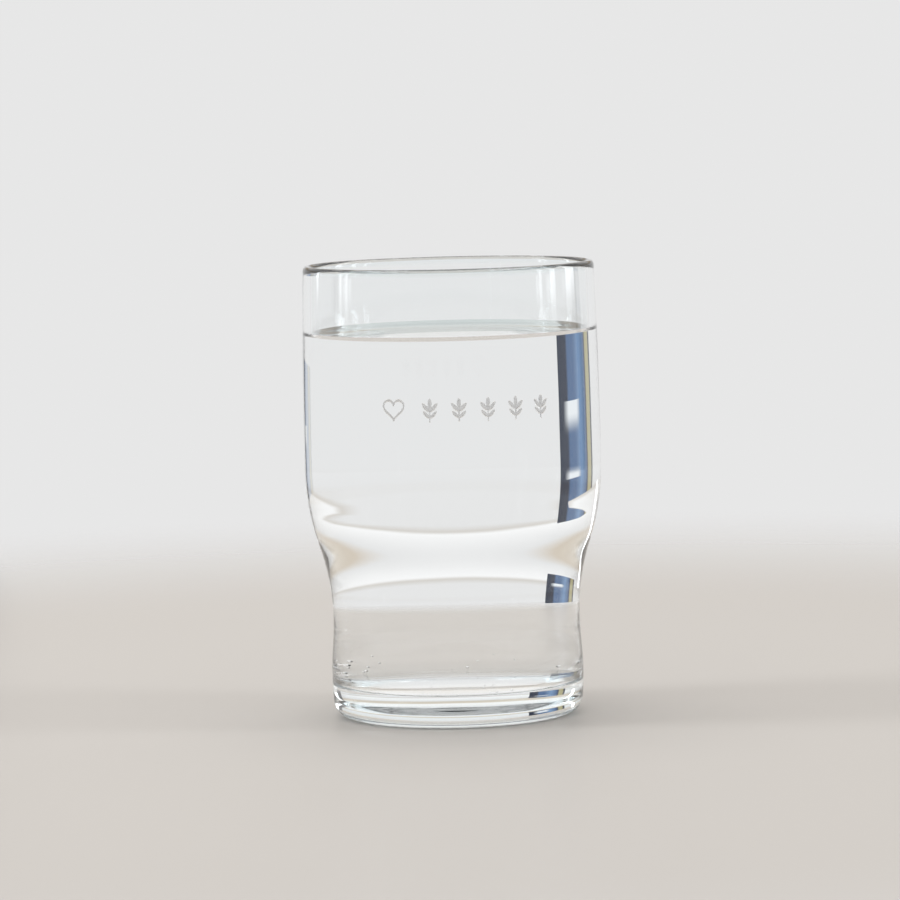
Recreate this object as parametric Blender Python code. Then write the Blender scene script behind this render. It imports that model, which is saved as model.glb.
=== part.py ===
"""A clear stacking tumbler with water in it.

Two separate bodies: the glass, moulded in one piece, and the water standing in it. Metres,
+Z up. The glass stands on z = 0 with its axis on the Z axis.
"""

import math

import bmesh
import bpy

MM = 0.001

# The glass, outside, from the lip down
HEIGHT = 110.0 * MM
LIP_RADIUS = 1.0 * MM
RIM_RADIUS = 35.3 * MM
BODY_RADIUS = 36.1 * MM
BODY_HEIGHT = 61.0 * MM  # where the body is widest and the shoulder begins
SHOULDER_RADIUS = 60.0 * MM  # of the shoulder's outward bulge, seen from the side
WAIST_RADIUS = 30.05 * MM
WAIST_HEIGHT = 24.0 * MM
FLARE_RADIUS = 79.0 * MM
FOOT_RADIUS = 30.7 * MM
FOOT_HEIGHT = 9.7 * MM
FOOT_CORNER = 4.0 * MM
FOOT_CORNER_TURN = math.radians(85)
BEARING_WIDTH = 11.0 * MM
PUNT_DEPTH = 1.0 * MM

# The glass, inside
WALL_AT_RIM = 2.0 * MM
WALL_AT_SHOULDER = 2.15 * MM
WALL_AT_WAIST = 2.85 * MM
LEDGE_TOP = 51.0 * MM  # the ledge inside the shoulder, for the next glass of a stack
LEDGE_FOOT = 46.5 * MM
LEDGE_CORNER = 0.8 * MM  # the height over which each of its two edges is rounded
FLOOR_RADIUS = 27.0 * MM
FLOOR_HEIGHT = 7.5 * MM
FLOOR_CORNER = 2.4 * MM

# The water, which creeps up the wall in a meniscus
WATER_LEVEL = 92.5 * MM
MENISCUS_RISE = 1.5 * MM
CAPILLARY_LENGTH = 2.7 * MM
MENISCUS_TAIL = 0.02  # of its rise: where the surface is taken as level
WATER_GAP = 0.35 * MM  # clear of the glass all round

TURN_STEPS = 72
SHARP_EDGE = math.radians(35)


def s_curve(top, bottom, upper, steps=5):
    """Two tangent arcs from `top` down to `bottom`, both (radius, height), ending vertically.

    The first arc has the radius `upper`. A negative radius bends outwards. Both end points
    are included.
    """
    (top_r, top_z), (low_r, low_z) = top, bottom
    fall = top_z - low_z
    turn = 2 * math.atan((top_r - low_r) / fall)
    lower = fall / math.sin(turn) - upper
    angles = [turn * i / steps for i in range(steps + 1)]
    first = [(top_r - upper * (1 - math.cos(a)), top_z - upper * math.sin(a)) for a in angles]
    return first + [
        (low_r + lower * (1 - math.cos(a)), low_z + lower * math.sin(a)) for a in angles[-2::-1]
    ]


def arc(centre, radius, start, end, steps):
    """Points on a circle from angle `start` to `end`, both included. Angle 0 points outwards."""
    angles = [start + (end - start) * i / steps for i in range(steps + 1)]
    return [
        (centre[0] + radius * math.cos(a), centre[1] + radius * math.sin(a)) for a in angles
    ]


def dish(edge, depth, steps):
    """A shallow dome over the axis, from its edge (radius, height) up to its middle."""
    radius = (edge[0] ** 2 + depth**2) / (2 * depth)
    sweep = math.asin(edge[0] / radius)
    angles = [sweep * (1 - i / steps) for i in range(steps + 1)]
    top = edge[1] + depth
    return [(radius * math.sin(a), top - radius * (1 - math.cos(a))) for a in angles]


def barrel(rim_radius, widest_radius, steps=6):
    """A slightly barrelled upper wall, from under the lip down to the shoulder."""
    rise = HEIGHT - LIP_RADIUS - BODY_HEIGHT
    swell = widest_radius - rim_radius
    shares = [1 - i / steps for i in range(steps + 1)]
    return [(widest_radius - swell * s * s, BODY_HEIGHT + rise * s) for s in shares]


def foot():
    """The foot's rounded lower edge, from its widest point down to the bearing ring."""
    rest = math.pi / 2 - FOOT_CORNER_TURN
    corner_top = FOOT_CORNER * (1 - math.cos(FOOT_CORNER_TURN))
    side = (FOOT_HEIGHT - corner_top) / math.sin(rest)
    inset = side * (1 - math.cos(rest)) + FOOT_CORNER * math.sin(FOOT_CORNER_TURN)
    bearing = FOOT_RADIUS - inset
    upper = arc((FOOT_RADIUS - side, FOOT_HEIGHT), side, 0, -rest, 2)
    lower = arc((bearing, FOOT_CORNER), FOOT_CORNER, -rest, -math.pi / 2, 6)
    return upper + lower[1:]


def shoulder(wall=0.0, steps=5):
    """The profile from the body's widest point down to the waist, `wall` deep in the glass."""
    top, waist = (BODY_RADIUS - wall, BODY_HEIGHT), (WAIST_RADIUS - wall, WAIST_HEIGHT)
    return s_curve(top, waist, SHOULDER_RADIUS - wall, steps)


def shoulder_at(height, wall):
    """The point of the shoulder's outward bulge at a height, `wall` deep in the glass."""
    bulge = math.sqrt((SHOULDER_RADIUS - wall) ** 2 - (BODY_HEIGHT - height) ** 2)
    return BODY_RADIUS - SHOULDER_RADIUS + bulge, height


def outside():
    """The glass's outer profile, from under the lip down to the middle of the underside."""
    waist = (WAIST_RADIUS, WAIST_HEIGHT)
    flare = s_curve(waist, (FOOT_RADIUS, FOOT_HEIGHT), -FLARE_RADIUS, 4)
    edge = foot()
    punt = dish((edge[-1][0] - BEARING_WIDTH, 0), PUNT_DEPTH, 5)
    return barrel(RIM_RADIUS, BODY_RADIUS) + shoulder()[1:] + flare[1:] + edge[1:] + punt


def ledge(thin, thick):
    """The ledge's profile between a wall `thin` above it and a wall `thick` below it."""
    start = LEDGE_TOP + LEDGE_CORNER
    above = [BODY_HEIGHT + (start - BODY_HEIGHT) * i / 3 for i in (1, 2, 3)]
    top, low = shoulder_at(LEDGE_TOP, thin), shoulder_at(LEDGE_FOOT, thick)
    slope = [tuple(a + (b - a) * i / 5 for a, b in zip(top, low)) for i in (0, 1, 4, 5)]
    end = LEDGE_FOOT - LEDGE_CORNER
    below = [point for point in shoulder(thick, 7) if point[1] < end - LEDGE_CORNER]
    return [shoulder_at(z, thin) for z in above] + slope + [shoulder_at(end, thick)] + below


def bore(inset=0.0):
    """The glass's inner profile, from under the lip down to the middle of the floor.

    `inset` shrinks it all round, for what stands inside the glass.
    """
    side = barrel(RIM_RADIUS - WALL_AT_RIM - inset, BODY_RADIUS - WALL_AT_SHOULDER - inset)
    step = ledge(WALL_AT_SHOULDER + inset, WALL_AT_WAIST + inset)
    centre = (FLOOR_RADIUS - FLOOR_CORNER, FLOOR_HEIGHT + FLOOR_CORNER)
    corner = arc(centre, FLOOR_CORNER - inset, 0, -math.pi / 2, 5)
    return side + step + corner + [(0, FLOOR_HEIGHT + inset)]


def bore_radius(height):
    """The bore's radius at a height on its barrelled upper part."""
    side = barrel(RIM_RADIUS - WALL_AT_RIM, BODY_RADIUS - WALL_AT_SHOULDER)
    for (upper_r, upper_z), (lower_r, lower_z) in zip(side, side[1:]):
        if height >= lower_z:
            share = (height - lower_z) / (upper_z - lower_z)
            return lower_r + (upper_r - lower_r) * share
    raise ValueError("the height is below the bore's upper part")


def meniscus(wall, steps=7):
    """The water's surface from the wall inwards, by the law for a liquid at an upright wall."""

    def reach(height):
        share = height / CAPILLARY_LENGTH
        return CAPILLARY_LENGTH * (math.acosh(2 / share) - math.sqrt(4 - share * share))

    heights = [MENISCUS_RISE * MENISCUS_TAIL ** (i / steps) for i in range(steps + 1)]
    return [(wall - reach(h) + reach(MENISCUS_RISE), WATER_LEVEL + h) for h in heights]


def turned(name, profile, material):
    """A closed body turned round the Z axis from a profile of (radius, height) points.

    The profile runs from the axis back to the axis.
    """
    mesh = bpy.data.meshes.new(name)
    bm = bmesh.new()
    corners = [bm.verts.new((radius, 0, height)) for radius, height in profile]
    sides = [bm.edges.new(pair) for pair in zip(corners, corners[1:])]
    bmesh.ops.spin(
        bm,
        geom=corners + sides,
        cent=(0, 0, 0),
        axis=(0, 0, 1),
        angle=2 * math.pi,
        steps=TURN_STEPS,
        use_merge=True,
    )
    bmesh.ops.remove_doubles(bm, verts=bm.verts, dist=0.001 * MM)
    bmesh.ops.recalc_face_normals(bm, faces=bm.faces)
    bm.to_mesh(mesh)
    bm.free()
    mesh.materials.append(material)
    mesh.shade_smooth()
    mesh.set_sharp_from_angle(angle=SHARP_EDGE)
    body = bpy.data.objects.new(name, mesh)
    bpy.context.collection.objects.link(body)
    return body


def clear(name, colour, ior):
    """A smooth, clear material that bends light."""
    material = bpy.data.materials.new(name)
    material.use_nodes = True
    shader = material.node_tree.nodes["Principled BSDF"]
    shader.inputs["Base Color"].default_value = (*colour, 1)
    shader.inputs["Metallic"].default_value = 0.0
    shader.inputs["Roughness"].default_value = 0.02
    shader.inputs["IOR"].default_value = ior
    shader.inputs["Transmission Weight"].default_value = 1.0
    return material


def make_glass():
    """One moulded wall and base: bore, rounded lip, outer wall and underside in one profile."""
    middle = RIM_RADIUS - WALL_AT_RIM / 2
    lip = arc((middle, HEIGHT - LIP_RADIUS), LIP_RADIUS, math.pi, 0, 6)
    profile = bore()[::-1] + lip[1:-1] + outside()
    return turned("glass_tumbler", profile, clear("soda_lime_glass", (0.95, 0.985, 1.0), 1.5))


def make_water():
    """The water fills the bore up to its level."""
    below = [point for point in bore(WATER_GAP) if point[1] < WATER_LEVEL]
    wall = bore_radius(WATER_LEVEL + MENISCUS_RISE) - WATER_GAP
    profile = [(0, WATER_LEVEL)] + meniscus(wall)[::-1] + below
    return turned("water", profile, clear("water", (0.93, 0.98, 1.0), 1.33))


for leftover in list(bpy.data.objects):
    bpy.data.objects.remove(leftover)
make_glass()
make_water()
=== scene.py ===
"""The looks of a clear stacking tumbler with still water in it: the glass with its frosted
engraving, the water with its meniscus, a few air bubbles, and a plain pale studio.

Metres, +Z up. The glass's axis is the Z axis and its engraved front faces -Y.
"""

import math

import bmesh
import bpy
import numpy as np
from mathutils import Matrix


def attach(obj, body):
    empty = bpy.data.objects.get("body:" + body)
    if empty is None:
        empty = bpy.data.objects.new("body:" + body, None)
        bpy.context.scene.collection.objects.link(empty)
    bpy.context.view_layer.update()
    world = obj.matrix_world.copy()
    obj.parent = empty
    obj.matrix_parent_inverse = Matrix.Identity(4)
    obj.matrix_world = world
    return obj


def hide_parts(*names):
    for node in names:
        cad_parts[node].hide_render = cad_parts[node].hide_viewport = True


MM = 0.001
TINY = 1e-6  # metres, or the turn between two unit steps, that counts as none

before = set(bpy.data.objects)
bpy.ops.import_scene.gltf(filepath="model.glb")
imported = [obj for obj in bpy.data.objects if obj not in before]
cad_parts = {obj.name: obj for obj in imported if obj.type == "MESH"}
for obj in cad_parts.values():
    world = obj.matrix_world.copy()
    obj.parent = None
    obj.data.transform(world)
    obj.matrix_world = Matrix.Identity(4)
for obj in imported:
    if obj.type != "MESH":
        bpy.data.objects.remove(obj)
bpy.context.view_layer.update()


# ---------------------------------------------------------------- turned outlines

PLACES = 7  # decimals of a metre that tell one vertex from another


def half_outline(node):
    """A CAD node's turned outline as (radius, height) rows, from its upper end at the axis.

    It walks the mesh edges that lie in the half-plane y = 0, x >= 0. A flat end has no
    vertex at its middle, so one is added there.
    """
    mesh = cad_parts[node].data
    points, links = {}, {}
    for vertex in mesh.vertices:
        x, y, z = vertex.co
        if abs(y) < TINY and x > -TINY:
            points[vertex.index] = (round(x, PLACES), round(z, PLACES))
    for edge in mesh.edges:
        a, b = (points.get(i) for i in edge.vertices)
        if a and b and a != b:
            links.setdefault(a, set()).add(b)
            links.setdefault(b, set()).add(a)
    here = max((p for p in links if len(links[p]) == 1), key=lambda p: p[1])
    walk = [here]
    while ahead := [p for p in links[here] if p not in walk[-2:]]:
        here = ahead[0]
        walk.append(here)
    start = [(0, walk[0][1])] if walk[0][0] > TINY else []
    end = [(0, walk[-1][1])] if walk[-1][0] > TINY else []
    return np.array(start + walk + end)


def smooth_through(points, spacing):
    """A curve through an outline's points, at about `spacing`.

    Akima's choice of tangents keeps it from ringing where arcs and straights meet.
    """
    chord = np.diff(points, axis=0)
    step = np.linalg.norm(chord, axis=1)
    way = chord / step[:, None]
    wide = np.concatenate([way[:1], way[:1], way, way[-1:], way[-1:]])
    change = np.linalg.norm(np.diff(wide, axis=0), axis=1)
    before, after = change[:-2], change[2:]
    still = before + after < TINY
    share = np.where(still, 0.5, before / np.where(still, 1, before + after))[:, None]
    tangent = (1 - share) * wide[1:-2] + share * wide[2:-1]
    tangent /= np.linalg.norm(tangent, axis=1)[:, None]
    rows = []
    for i, length in enumerate(step):
        n = max(1, round(length / spacing))
        t = (np.arange(n) / n)[:, None]
        rows.append(
            (2 * t**3 - 3 * t**2 + 1) * points[i]
            + (t**3 - 2 * t**2 + t) * length * tangent[i]
            + (3 * t**2 - 2 * t**3) * points[i + 1]
            + (t**3 - t**2) * length * tangent[i + 1]
        )
    curve = np.concatenate([*rows, points[-1:]])
    return np.clip(curve, points.min(axis=0), points.max(axis=0))


def turned_mesh(name, outline, angles, slots, shift=None):
    """A closed mesh turned round the Z axis. The outline's two ends lie on the axis.

    `slots` gives each band of faces its material slot. `shift` moves vertices outwards, one
    row to each inner outline row and one column to each angle.
    """
    rings, count = len(outline) - 2, len(angles)
    radius = np.repeat(outline[1:-1, :1], count, axis=1)
    if shift is not None:
        radius = radius + shift
    vertices = np.stack(
        [
            radius * np.cos(angles),
            radius * np.sin(angles),
            np.repeat(outline[1:-1, 1:], count, axis=1),
        ],
        axis=2,
    ).reshape(-1, 3)
    poles = [[0, 0, outline[0, 1]], [0, 0, outline[-1, 1]]]
    vertices = np.concatenate([vertices, poles])
    here = np.arange(count)
    following = np.roll(here, -1)
    first_pole, last_pole = rings * count, rings * count + 1
    band = np.arange(rings - 1)[:, None] * count
    quads = np.stack(
        [band + here, band + count + here, band + count + following, band + following], axis=2
    ).reshape(-1, 4)
    last = (rings - 1) * count
    caps = np.concatenate(
        [
            np.stack([np.full(count, first_pole), here, following], axis=1),
            np.stack([last + here, np.full(count, last_pole), last + following], axis=1),
        ]
    )
    mesh = bpy.data.meshes.new(name)
    mesh.from_pydata(vertices.tolist(), [], quads.tolist() + caps.tolist())
    cap_slots = np.repeat([slots[0, 0], slots[-1, 0]], count)
    mesh.polygons.foreach_set(
        "material_index", np.concatenate([slots[1:-1].reshape(-1), cap_slots]).astype(np.int32)
    )
    mesh.shade_smooth()
    mesh.update()
    return mesh


# ---------------------------------------------------------------- the engraved ornament

ENGRAVING_HEIGHT = 0.7  # of the glass's height
ENGRAVING_DEPTH = 0.15 * MM
ENGRAVING_SOFT_EDGE = 0.16 * MM
ENGRAVING_GRID = 0.13 * MM
HEART_WIDTH = 5.6 * MM
HEART_AT = -14.1 * MM  # along the wall from the middle of the front, to the right
SPRIG_SPAN = (-5.2 * MM, 22.6 * MM)
SPRIG_COUNT = 5
SPRIG_HEIGHT = 5.4 * MM
LINE_HALF_WIDTH = 0.21 * MM
BURR_STEP = 0.09 * MM
HEART_STEPS = 240
LEAF_FULLNESS = 0.75  # the power of a sine: a smaller one is blunter
# A sprig in parts of its height, from its middle: the stem's two ends, and its leaves as
# (start, end, half width). A side leaf has a mirrored twin.
STEM = ((0, -0.5), (0, 0.2))
STEM_HALF_WIDTH = 0.75 * LINE_HALF_WIDTH
TOP_LEAF = ((0, 0.05), (0, 0.5), 0.09)
SIDE_LEAVES = (((0, -0.08), (0.35, 0.3), 0.08), ((0, -0.36), (0.31, -0.05), 0.07))


def stroke(start, end, half_width, leaf=False):
    """Discs (along, up, radius) that a burr leaves on a line. A leaf swells in its middle."""
    t = np.linspace(0, 1, max(2, round(math.dist(start, end) / BURR_STEP)) + 1)
    middle = np.outer(1 - t, start) + np.outer(t, end)
    radius = half_width * (np.sin(np.pi * t) ** LEAF_FULLNESS if leaf else np.ones_like(t))
    return np.column_stack([middle, radius])


def heart(at):
    """The outline of a heart, as discs: the textbook curve, 32 wide, raised by 2.5."""
    t = np.linspace(0, 2 * np.pi, HEART_STEPS, endpoint=False)
    x = 16 * np.sin(t) ** 3
    y = 13 * np.cos(t) - 5 * np.cos(2 * t) - 2 * np.cos(3 * t) - np.cos(4 * t) + 2.5
    size = (HEART_WIDTH / 2 - LINE_HALF_WIDTH) / 16
    return np.column_stack([at + x * size, y * size, np.full_like(t, LINE_HALF_WIDTH)])


def sprig(at):
    """An upright sprig with a leaf at its tip and two pairs of side leaves, as discs."""
    leaves = [TOP_LEAF]
    for side in (-1, 1):
        leaves += [(start, (side * end[0], end[1]), half) for start, end, half in SIDE_LEAVES]
    tall = SPRIG_HEIGHT
    strokes = [stroke(*(np.array(point) * tall for point in STEM), STEM_HALF_WIDTH)]
    for start, end, half in leaves:
        foot, tip = np.array(start) * tall, np.array(end) * tall
        strokes.append(stroke(foot, tip, half * tall, leaf=True))
    return np.concatenate(strokes) + [at, 0, 0]


def engraving_discs():
    sprigs = [sprig(at) for at in np.linspace(*SPRIG_SPAN, SPRIG_COUNT)]
    return np.concatenate([heart(HEART_AT), *sprigs])


def engraved_share(along, up, discs):
    """How deep the burr has cut at each point, from 0 to 1."""
    inside = np.full(along.shape, -np.inf)
    for x, y, radius in discs:
        inside = np.maximum(inside, radius - np.hypot(along - x, up - y))
    return np.clip(0.5 + inside / ENGRAVING_SOFT_EDGE, 0, 1)


# ---------------------------------------------------------------- pieces

GLASS_SPACING = 1.2 * MM
COARSE_COLUMNS = 144
WINDOW_MARGIN = 1.2 * MM
CONTACT_INSET = 0.01 * MM  # how far the water's own side lies inside the wall

BUBBLE_SEED = 4
BUBBLE_COUNT = 70
BUBBLE_RADII = (0.11 * MM, 0.27 * MM)
BUBBLE_GAP = 0.03 * MM
# Each cluster's bearing from +X and spread, in degrees, and its share of the bubbles
BUBBLE_CLUSTERS = ((143, 5, 0.3), (126, 6, 0.4), (-70, 30, 0.2), (40, 40, 0.1))
BUBBLE_SPAN = (-2.0 * MM, 3.0 * MM)  # where they sit, along the bore from the foot of its wall
BORE_WALL_FOOT = 0.5 * MM  # above the floor
BUBBLE_SIDES = 12

POLISHED, WETTED, FROSTED = 0, 1, 2
FREE_SURFACE, AGAINST_GLASS = 0, 1

glass_points = half_outline("glass_tumbler")
water_points = half_outline("water")
rim_at = int(glass_points[:, 1].argmax())
contact = water_points[water_points[:, 1].argmax()]
glass_height = glass_points[rim_at, 1]


def bore_outline(points):
    """The bore from its floor to the rim, with a row just at the water's edge, and that radius."""
    bore = points[: rim_at + 1]
    edge = np.interp(contact[1], bore[:, 1], bore[:, 0])
    above = int((bore[:, 1] < contact[1]).sum())
    return np.insert(bore, above, [edge, contact[1]], axis=0), edge


def make_glass(materials):
    bore, _ = bore_outline(glass_points)
    inside = smooth_through(bore, GLASS_SPACING)
    outside = smooth_through(glass_points[rim_at:], GLASS_SPACING)
    middle = ENGRAVING_HEIGHT * glass_height
    low, high = (middle + s * (SPRIG_HEIGHT / 2 + WINDOW_MARGIN) for s in (-1, 1))
    above, below = outside[outside[:, 1] > high], outside[outside[:, 1] < low]
    rows = np.linspace(high, low, round((high - low) / ENGRAVING_GRID) + 1)
    wall = np.interp(rows, outside[::-1, 1], outside[::-1, 0])
    outline = np.concatenate([inside[:-1], above, np.column_stack([wall, rows]), below])

    radius = float(wall.mean())
    left = (HEART_AT - HEART_WIDTH / 2 - WINDOW_MARGIN) / radius
    right = (SPRIG_SPAN[1] + SPRIG_HEIGHT / 2 + WINDOW_MARGIN) / radius
    fine = np.linspace(left, right, round((right - left) * radius / ENGRAVING_GRID) + 1)
    rest = 2 * np.pi - (right - left)
    coarse = np.linspace(right, left + 2 * np.pi, round(COARSE_COLUMNS * rest / (2 * np.pi)))
    front = np.concatenate([fine, coarse[1:-1]])

    shift = np.zeros((len(outline) - 2, len(front)))
    first = len(inside) - 1 + len(above) - 1
    along, up = np.meshgrid(fine * radius, rows - middle)
    cut = engraved_share(along, up, engraving_discs())
    shift[first : first + len(rows), : len(fine)] = -ENGRAVING_DEPTH * cut

    slots = np.full((len(outline) - 1, len(front)), POLISHED)
    slots[: int((inside[:, 1] < contact[1] - TINY).sum())] = WETTED
    deep = (cut[:-1, :-1] + cut[1:, :-1] + cut[:-1, 1:] + cut[1:, 1:]) / 4
    patch = slots[first + 1 : first + len(rows), : len(fine) - 1]
    patch[deep > 0.5] = FROSTED

    mesh = turned_mesh("glass", outline, front - np.pi / 2, slots, shift)
    place_piece("glass", mesh, materials, "glass", "glass_tumbler")


def make_water(materials):
    bore, edge = bore_outline(glass_points)
    top = water_points[: int(water_points[:, 1].argmax()) + 1] * [edge / contact[0], 1]
    top = smooth_through(top, GLASS_SPACING)
    below = bore[bore[:, 1] < contact[1] - TINY]
    wall = smooth_through(np.concatenate([below, [[edge, contact[1]]]]), GLASS_SPACING)[::-1]
    normal = np.gradient(wall, axis=0)
    normal = np.column_stack([normal[:, 1], -normal[:, 0]])
    wall = wall + CONTACT_INSET * normal / np.linalg.norm(normal, axis=1)[:, None]
    wall[-1, 0] = 0
    outline = np.concatenate([top, wall[1:]])
    angles = np.linspace(0, 2 * np.pi, COARSE_COLUMNS, endpoint=False)
    slots = np.full((len(outline) - 1, COARSE_COLUMNS), AGAINST_GLASS)
    slots[: len(top) - 1] = FREE_SURFACE
    mesh = turned_mesh("water_body", outline, angles, slots)
    place_piece("water_body", mesh, materials, "water", "water")


def make_bubbles(materials):
    """Fine air bubbles that cling to the corner between the bore's wall and floor."""
    rng = np.random.default_rng(BUBBLE_SEED)
    bearings, spreads, shares = zip(*BUBBLE_CLUSTERS)
    bore = smooth_through(bore_outline(glass_points)[0], GLASS_SPACING / 4)
    foot = int(np.argmax(bore[:, 1] > bore[1, 1] + BORE_WALL_FOOT))
    run = np.concatenate([[0], np.cumsum(np.linalg.norm(np.diff(bore, axis=0), axis=1))])
    bm = bmesh.new()
    for _ in range(BUBBLE_COUNT):
        cluster = rng.choice(len(shares), p=shares)
        turn = math.radians(rng.normal(bearings[cluster], spreads[cluster]))
        radius = rng.triangular(BUBBLE_RADII[0], BUBBLE_RADII[0], BUBBLE_RADII[1])
        at = run[foot] + rng.uniform(*BUBBLE_SPAN)
        i = int(np.searchsorted(run, at))
        along = bore[i + 1] - bore[i - 1]
        inwards = np.array([-along[1], along[0]]) / np.linalg.norm(along)
        out, up = bore[i] + inwards * (radius + BUBBLE_GAP)
        bmesh.ops.create_uvsphere(
            bm,
            u_segments=BUBBLE_SIDES,
            v_segments=BUBBLE_SIDES // 2,
            radius=radius,
            matrix=Matrix.Translation((out * math.cos(turn), out * math.sin(turn), up)),
        )
    mesh = bpy.data.meshes.new("air_bubbles")
    bm.to_mesh(mesh)
    bm.free()
    mesh.shade_smooth()
    place_piece("air_bubbles", mesh, materials, "water")


def place_piece(name, mesh, materials, slot, *replaced):
    """A piece of the object that rides on the one body."""
    for material in materials:
        mesh.materials.append(material)
    piece = bpy.data.objects.new(name, mesh)
    bpy.context.scene.collection.objects.link(piece)
    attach(piece, "root")
    if replaced:
        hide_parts(*replaced)


# ---------------------------------------------------------------- materials

GLASS_IOR = 1.5
WATER_IOR = 1.333
AIR_IN_WATER_IOR = 1 / WATER_IOR
CLEAR_TINT = (0.985, 0.997, 1.0)  # the faint blue-green of iron in the glass
THICK_TINT = (0.94, 0.985, 1.0)  # where light runs a long way through it: the lip and the foot
LIP_BAND = (107.5 * MM, 109.5 * MM)
FOOT_BAND = (9.0 * MM, 3.0 * MM)
# Painted reflection: a light blue painted on the water's surface towards the wall, for the bright
# bluish band at the meniscus
MENISCUS_PAINTED_REFLECTION = (0.62, 0.86, 0.97)
MENISCUS_FROM = 0.6  # of the surface's radius: where that painted reflection sets in
# Painted shade: a grey that darkens the frosted engraving, standing in for the darker room it
# scatters
FROST_PAINTED_SHADE = (0.50, 0.50, 0.50)
FROST_ROUGHNESS = 0.5
WORN_BAND = (0.02 * MM, 0.1 * MM)  # above the table: where the bearing ring is worn dull
WORN_ROUGHNESS = 0.12
# Relief as (how wide, how deep)
PRESSED_WAVES = (22 * MM, 0.05 * MM)
DRAW_LINES = (1.6 * MM, 0.0016 * MM)
DRAW_LINE_LENGTH = 40  # of their width
FROST_GRAIN = (0.12 * MM, 0.02 * MM)
WATER_WAVES = (30 * MM, 0.03 * MM)


def fill_ramp(band, stops):
    """`stops` are (value, colour) pairs with values from 0 to 1."""
    while len(band.elements) < len(stops):
        band.elements.new(1.0)
    for element, (position, colour) in zip(band.elements, stops):
        element.position = position
        element.color = (*colour, 1)


class Shader:
    """A material's node tree, with the few moves that the materials here share."""

    def __init__(self, name):
        self.material = bpy.data.materials.new(name)
        self.material.use_nodes = True
        self.nodes = self.material.node_tree.nodes
        self.principled = self.nodes["Principled BSDF"]
        self.output = self.nodes["Material Output"]

    def link(self, source, target):
        self.material.node_tree.links.new(source, target)

    def add(self, kind, **settings):
        node = self.nodes.new(kind)
        for key, value in settings.items():
            setattr(node, key, value)
        return node

    def surface(self, source):
        self.link(source, self.output.inputs["Surface"])

    def place(self):
        return self.add("ShaderNodeTexCoord").outputs["Object"]

    def part_of_place(self, axis):
        split = self.add("ShaderNodeSeparateXYZ")
        self.link(self.place(), split.inputs[0])
        return split.outputs[axis]

    def from_axis(self):
        """The distance from the Z axis."""
        flat = self.add("ShaderNodeVectorMath", operation="MULTIPLY")
        flat.inputs[1].default_value = (1, 1, 0)
        self.link(self.place(), flat.inputs[0])
        length = self.add("ShaderNodeVectorMath", operation="LENGTH")
        self.link(flat.outputs["Vector"], length.inputs[0])
        return length.outputs["Value"]

    def noise(self, size, detail=1.0, stretch=(1, 1, 1)):
        """Noise whose lumps are about `size` metres across, stretched along each axis."""
        scale = self.add("ShaderNodeVectorMath", operation="MULTIPLY")
        scale.inputs[1].default_value = [1 / (size * s) for s in stretch]
        self.link(self.place(), scale.inputs[0])
        texture = self.add("ShaderNodeTexNoise")
        texture.inputs["Scale"].default_value = 1.0
        texture.inputs["Detail"].default_value = detail
        self.link(scale.outputs["Vector"], texture.inputs["Vector"])
        return texture.outputs["Fac"]

    def ramp(self, value, stops):
        """A colour for each value from 0 to 1."""
        node = self.add("ShaderNodeValToRGB")
        fill_ramp(node.color_ramp, stops)
        self.link(value, node.inputs["Fac"])
        return node.outputs["Color"]

    def span(self, value, low, high, to_low=0.0, to_high=1.0):
        """`value` from low to high, eased on to to_low and to_high."""
        node = self.add("ShaderNodeMapRange", interpolation_type="SMOOTHSTEP")
        ends = {"From Min": low, "From Max": high, "To Min": to_low, "To Max": to_high}
        for socket, number in ends.items():
            node.inputs[socket].default_value = number
        self.link(value, node.inputs["Value"])
        return node.outputs["Result"]

    def bumps(self, *layers):
        """Relief from (height, depth in metres) layers, on the shader's normal."""
        normal = None
        for height, depth in layers:
            bump = self.add("ShaderNodeBump")
            bump.inputs["Strength"].default_value = 1.0
            bump.inputs["Distance"].default_value = depth
            self.link(height, bump.inputs["Height"])
            if normal:
                self.link(normal, bump.inputs["Normal"])
            normal = bump.outputs["Normal"]
        self.link(normal, self.principled.inputs["Normal"])


def clear_shader(name, colour, ior, roughness=0.0):
    """Clear matter that bends light."""
    shader = Shader(name)
    shader.principled.inputs["Base Color"].default_value = (*colour, 1)
    shader.principled.inputs["Roughness"].default_value = roughness
    shader.principled.inputs["IOR"].default_value = ior
    shader.principled.inputs["Transmission Weight"].default_value = 1.0
    return shader


def pressed_waviness(shader):
    """What the mould and the fire polish leave: slow waves and faint upright draw lines."""
    waves = shader.noise(PRESSED_WAVES[0])
    draw_lines = shader.noise(DRAW_LINES[0], stretch=(1, 1, DRAW_LINE_LENGTH))
    shader.bumps((waves, PRESSED_WAVES[1]), (draw_lines, DRAW_LINES[1]))


def polished_glass():
    """Fire-polished glass, tinted where it is thick, worn dull where it stands."""
    shader = clear_shader("glass_polished", CLEAR_TINT, GLASS_IOR)
    height = shader.part_of_place("Z")
    thick = shader.add("ShaderNodeMath", operation="ADD")
    shader.link(shader.span(height, *LIP_BAND), thick.inputs[0])
    shader.link(shader.span(height, *FOOT_BAND), thick.inputs[1])
    tint = shader.ramp(thick.outputs[0], [(0, CLEAR_TINT), (1, THICK_TINT)])
    shader.link(tint, shader.principled.inputs["Base Color"])
    worn = shader.span(height, *WORN_BAND, WORN_ROUGHNESS, 0.0)
    shader.link(worn, shader.principled.inputs["Roughness"])
    pressed_waviness(shader)
    return shader.material


def wetted_glass():
    """The bore under water, where glass meets water."""
    shader = clear_shader("glass_wetted", (1, 1, 1), GLASS_IOR / WATER_IOR)
    pressed_waviness(shader)
    return shader.material


def frosted_glass():
    """The engraving: ground glass with the burr's fine grain, greyed with painted shade."""
    shader = clear_shader("glass_frosted", FROST_PAINTED_SHADE, GLASS_IOR, FROST_ROUGHNESS)
    shader.bumps((shader.noise(FROST_GRAIN[0], detail=3.0), FROST_GRAIN[1]))
    return shader.material


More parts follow.
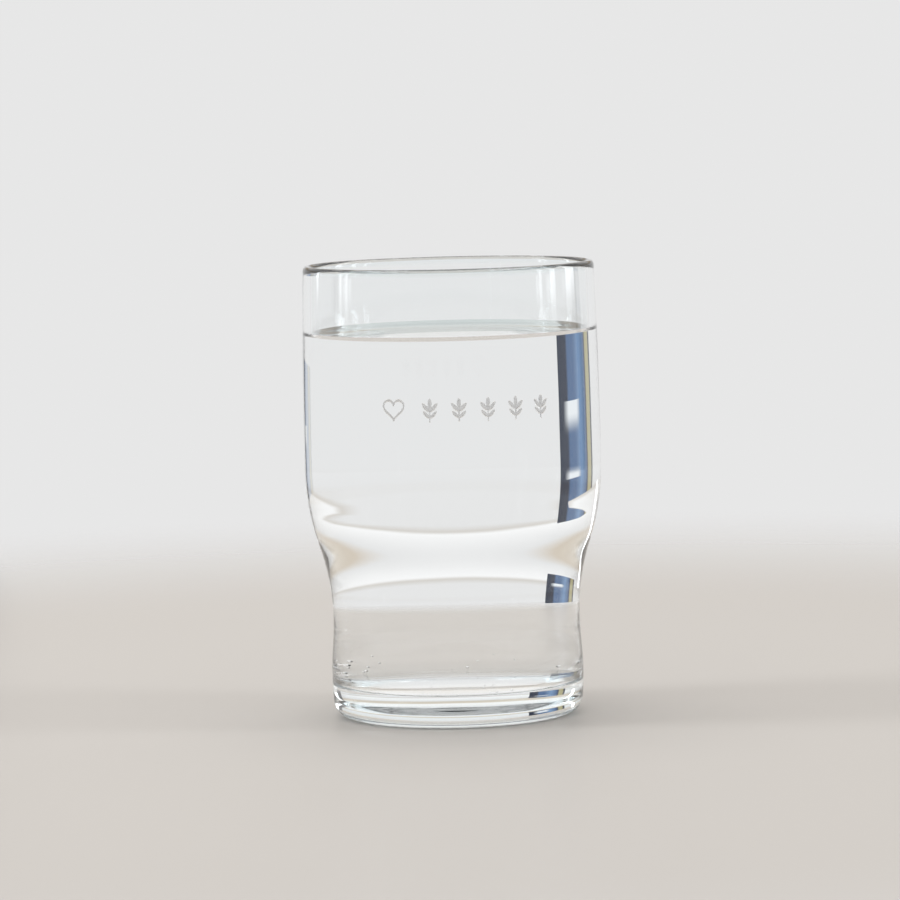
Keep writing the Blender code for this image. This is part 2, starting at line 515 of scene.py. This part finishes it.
def water_surface():
    """Still water seen from the air: all but level, with a blue painted reflection where it climbs
    the wall.
    """
    shader = clear_shader("water_surface", CLEAR_TINT, WATER_IOR)
    # Painted reflection: light blue, growing towards the wall
    by_wall = shader.span(shader.from_axis(), MENISCUS_FROM * contact[0], contact[0])
    tint = shader.ramp(by_wall, [(0, CLEAR_TINT), (1, MENISCUS_PAINTED_REFLECTION)])
    shader.link(tint, shader.principled.inputs["Base Color"])
    shader.bumps((shader.noise(WATER_WAVES[0]), WATER_WAVES[1]))
    return shader.material


def water_against_glass():
    """The water's side and bottom add nothing: the wetted glass has already bent the light."""
    shader = Shader("water_against_glass")
    shader.nodes.remove(shader.principled)
    shader.surface(shader.add("ShaderNodeBsdfTransparent").outputs[0])
    return shader.material


def air_in_water():
    """A bubble's skin, from the water's side."""
    shader = Shader("air_bubble")
    shader.nodes.remove(shader.principled)
    skin = shader.add("ShaderNodeBsdfGlass")
    skin.inputs["IOR"].default_value = AIR_IN_WATER_IOR
    skin.inputs["Roughness"].default_value = 0.0
    shader.surface(skin.outputs[0])
    return shader.material


make_glass([polished_glass(), wetted_glass(), frosted_glass()])
make_water([water_surface(), water_against_glass()])
make_bubbles([air_in_water()])

# ---------------------------------------------------------------- studio

BACKDROP = (0.80, 0.80, 0.80)
# The studio round the glass by height, as the sine of the angle above the horizon: the even
# backdrop, a shaded and a lit edge along it, a warm shaded band, a bright panel and a darker top.
HEAVENS = [
    (0.0, BACKDROP),
    (0.013, BACKDROP),
    (0.032, (0.66, 0.63, 0.59)),
    (0.044, (0.97, 0.97, 0.97)),
    (0.08, (0.90, 0.90, 0.90)),
    (0.13, BACKDROP),
    (0.17, (0.64, 0.56, 0.46)),
    (0.23, (0.70, 0.63, 0.53)),
    (0.26, (1.0, 0.99, 0.97)),
    (0.60, (0.95, 0.95, 0.95)),
    (0.95, (0.70, 0.70, 0.70)),
]
FLOOR_COLOUR = (0.47, 0.44, 0.41)
FLOOR_ROUGHNESS = 0.42
FLOOR_SHINE = 0.15
FLOOR_SIZE = 8.0
FLOOR_CLEARANCE = 0.02 * MM  # below the glass, so that no two faces lie in one plane
FLOOR_FADE = (0.22, 0.5)  # from the glass: where the floor starts and ends melting away


def sheet(name, width, height, location, rotation, material):
    """A flat rectangle of studio equipment."""
    corners = ((0, 0), (1, 0), (1, 1), (0, 1))
    mesh = bpy.data.meshes.new(name)
    places = [((x - 0.5) * width, (y - 0.5) * height, 0) for x, y in corners]
    mesh.from_pydata(places, [], [(0, 1, 2, 3)])
    mesh.uv_layers.new().data.foreach_set("uv", [part for corner in corners for part in corner])
    mesh.materials.append(material)
    panel = bpy.data.objects.new(name, mesh)
    panel.location = location
    panel.rotation_euler = rotation
    bpy.context.scene.collection.objects.link(panel)
    return panel


def make_floor():
    shader = Shader("floor")
    shader.principled.inputs["Base Color"].default_value = (*FLOOR_COLOUR, 1)
    shader.principled.inputs["Roughness"].default_value = FLOOR_ROUGHNESS
    shader.principled.inputs["Specular IOR Level"].default_value = FLOOR_SHINE
    mix = shader.add("ShaderNodeMixShader")
    shader.link(shader.span(shader.from_axis(), *FLOOR_FADE), mix.inputs[0])
    shader.link(shader.principled.outputs[0], mix.inputs[1])
    shader.link(shader.add("ShaderNodeBsdfTransparent").outputs[0], mix.inputs[2])
    shader.surface(mix.outputs[0])
    place = (0, 0, -FLOOR_CLEARANCE)
    sheet("floor", FLOOR_SIZE, FLOOR_SIZE, place, (0, 0, 0), shader.material)


def make_world():
    world = bpy.data.worlds.new("studio")
    world.use_nodes = True
    nodes, links = world.node_tree.nodes, world.node_tree.links
    way = nodes.new("ShaderNodeTexCoord")
    split = nodes.new("ShaderNodeSeparateXYZ")
    ramp = nodes.new("ShaderNodeValToRGB")
    fill_ramp(ramp.color_ramp, HEAVENS)
    links.new(way.outputs["Generated"], split.inputs[0])
    links.new(split.outputs["Z"], ramp.inputs["Fac"])
    links.new(ramp.outputs["Color"], nodes["Background"].inputs["Color"])
    bpy.context.scene.world = world


def around(bearing, distance):
    """A place at a bearing from the glass: 0 is straight behind it, positive is to the left."""
    turn = math.radians(90 + bearing)
    return distance * math.cos(turn), distance * math.sin(turn)


def softbox(name, bearing, distance, middle, width, height, radiance, colour):
    """A soft area light that faces the glass. The glass doesn't mirror it."""
    lamp = bpy.data.lights.new(name, "AREA")
    lamp.shape, lamp.size, lamp.size_y = "RECTANGLE", width, height
    lamp.energy = radiance * width * height * math.pi
    lamp.color = colour
    box = bpy.data.objects.new(name, lamp)
    x, y = around(bearing, distance)
    box.location = (x, y, middle)
    aim = np.array([-x, -y, glass_height / 2 - middle])
    tilt = math.atan2(math.hypot(aim[0], aim[1]), -aim[2])
    box.rotation_euler = (tilt, 0, math.atan2(aim[1], aim[0]) - math.pi / 2)
    box.visible_glossy = box.visible_transmission = False
    bpy.context.scene.collection.objects.link(box)


def card(name, bearing, distance, width, height, across, shown=None, rise=None, strength=1.0):
    """An upright card on the floor, for the glass to bend and mirror. The camera can't see it.

    `across` are its colours and `shown` its shares of opacity, from its left edge (0), seen
    from the glass, to its right edge (1). It fades in between the two heights of `rise`.
    """
    shader = Shader(name)
    shader.nodes.remove(shader.principled)
    split = shader.add("ShaderNodeSeparateXYZ")
    shader.link(shader.add("ShaderNodeTexCoord").outputs["UV"], split.inputs[0])
    paint = shader.add("ShaderNodeEmission")
    paint.inputs["Strength"].default_value = strength
    shader.link(shader.ramp(split.outputs["X"], across), paint.inputs["Color"])
    surface = paint.outputs[0]
    if shown:
        solid = shader.add("ShaderNodeMath", operation="MULTIPLY")
        stops = [(at, (share,) * 3) for at, share in shown]
        shader.link(shader.ramp(split.outputs["X"], stops), solid.inputs[0])
        low, high = (level / height for level in rise)
        shader.link(shader.span(split.outputs["Y"], low, high), solid.inputs[1])
        mix = shader.add("ShaderNodeMixShader")
        shader.link(solid.outputs[0], mix.inputs[0])
        shader.link(shader.add("ShaderNodeBsdfTransparent").outputs[0], mix.inputs[1])
        shader.link(surface, mix.inputs[2])
        surface = mix.outputs[0]
    shader.surface(surface)
    place = (*around(bearing, distance), height / 2)
    facing = (math.pi / 2, 0, math.radians(bearing))
    stand = sheet(name, width, height, place, facing, shader.material)
    stand.visible_camera = stand.visible_diffuse = stand.visible_shadow = False


def window(name, bearing, spread, panes, strength):
    """Tall bright panes, each between two bearings, on a card that spans `spread` degrees."""
    breadth = 2 * math.tan(math.radians(spread / 2))
    shown = [(0, 0)]
    for pane in panes:
        start, end = (0.5 - math.tan(math.radians(edge - bearing)) / breadth for edge in pane)
        shown += [(start, 0), (start + PANE_EDGE, 1), (end - PANE_EDGE, 1), (end, 0)]
    width = breadth * WINDOW_DISTANCE
    card(name, bearing, WINDOW_DISTANCE, width, WINDOW_HEIGHT, EVEN, shown, WINDOW_SILL, strength)


DAYLIGHT = (0.93, 0.97, 1.0)
LAMPLIGHT = (1.0, 0.98, 0.96)
EVEN = [(0, DAYLIGHT), (1, DAYLIGHT)]
WINDOW_DISTANCE = 1.1
WINDOW_HEIGHT = 0.9
WINDOW_SILL = (0.060, 0.105)
PANE_EDGE = 0.03  # of the card's width: how softly a pane ends

NAVY = (0.002, 0.012, 0.040)
STEEL = (0.05, 0.12, 0.26)
SKY = (0.16, 0.29, 0.50)
STRAW = (0.42, 0.38, 0.20)
SHADE = (0.10, 0.10, 0.11)
WINDOW_FRAME = [
    (0.0, NAVY), (0.06, NAVY), (0.10, STRAW), (0.24, STRAW), (0.27, NAVY), (0.33, STEEL),
    (0.50, SKY), (0.66, STEEL), (0.80, STEEL), (0.84, NAVY), (1.0, NAVY),
]

# Name, bearing, distance, height of the middle, width, height, radiance, colour
SOFTBOXES = [
    ("left_softbox", 94, 1.1, 0.45, 0.30, 0.9, 9.0, DAYLIGHT),
    ("right_softbox", -102, 1.1, 0.45, 0.22, 0.9, 8.0, DAYLIGHT),
    ("top_softbox", 20, 0.25, 1.3, 0.8, 0.8, 2.5, LAMPLIGHT),
]
# Name, bearing, spread, the bearings of each pane's two edges, strength
WINDOWS = [
    ("left_window", 84, 76, [(96, 91), (89.5, 84.5), (58, 53)], 6.0),
    ("right_window", -85, 46, [(-64, -77), (-88, -94), (-102, -106)], 5.0),
]
GLINT_FADE = [(0, 0), (0.25, 1), (0.75, 1), (1, 0)]
# Name, bearing, distance, width, height, colours, and for the glint its opacity, rise, strength
CARDS = [
    ("window_frame", 32, 0.40, 0.15, 0.064, WINDOW_FRAME),
    ("window_glint", 27.3, 0.38, 0.058, 0.043, EVEN, GLINT_FADE, (0.034, 0.040), 0.9),
    ("side_shade", -62, 0.6, 0.08, 0.5, [(0, SHADE), (1, SHADE)]),
]

make_floor()
make_world()
for row in SOFTBOXES:
    softbox(*row)
for row in WINDOWS:
    window(*row)
for row in CARDS:
    card(*row)

# ---------------------------------------------------------------- camera

# The camera's place in glass heights: to the right of, in front of and above the glass's foot
VIEW_FROM = (-0.0056, -10.28, 1.47)
VIEW_PITCH = math.radians(4.918)
VIEW_ROLL = math.radians(1.4)
VIEW_LENS = 186.6
NEAREST_VIEW = 0.05
THROUGH_GLASS_BOUNCES = 32  # light turns back many times inside the walls and the base
GLOSSY_BOUNCES = 12

camera = bpy.data.objects.new("camera", bpy.data.cameras.new("camera"))
bpy.context.scene.collection.objects.link(camera)
camera.data.lens = VIEW_LENS
camera.location = [glass_height * part for part in VIEW_FROM]
level = Matrix.Rotation(math.pi / 2 - VIEW_PITCH, 3, "X")
camera.rotation_euler = (level @ Matrix.Rotation(-VIEW_ROLL, 3, "Z")).to_euler()
camera.data.clip_start = NEAREST_VIEW
bpy.context.scene.camera = camera
bpy.context.scene.view_settings.view_transform = "Standard"
bpy.context.scene.cycles.max_bounces = THROUGH_GLASS_BOUNCES
bpy.context.scene.cycles.transmission_bounces = THROUGH_GLASS_BOUNCES
bpy.context.scene.cycles.glossy_bounces = GLOSSY_BOUNCES
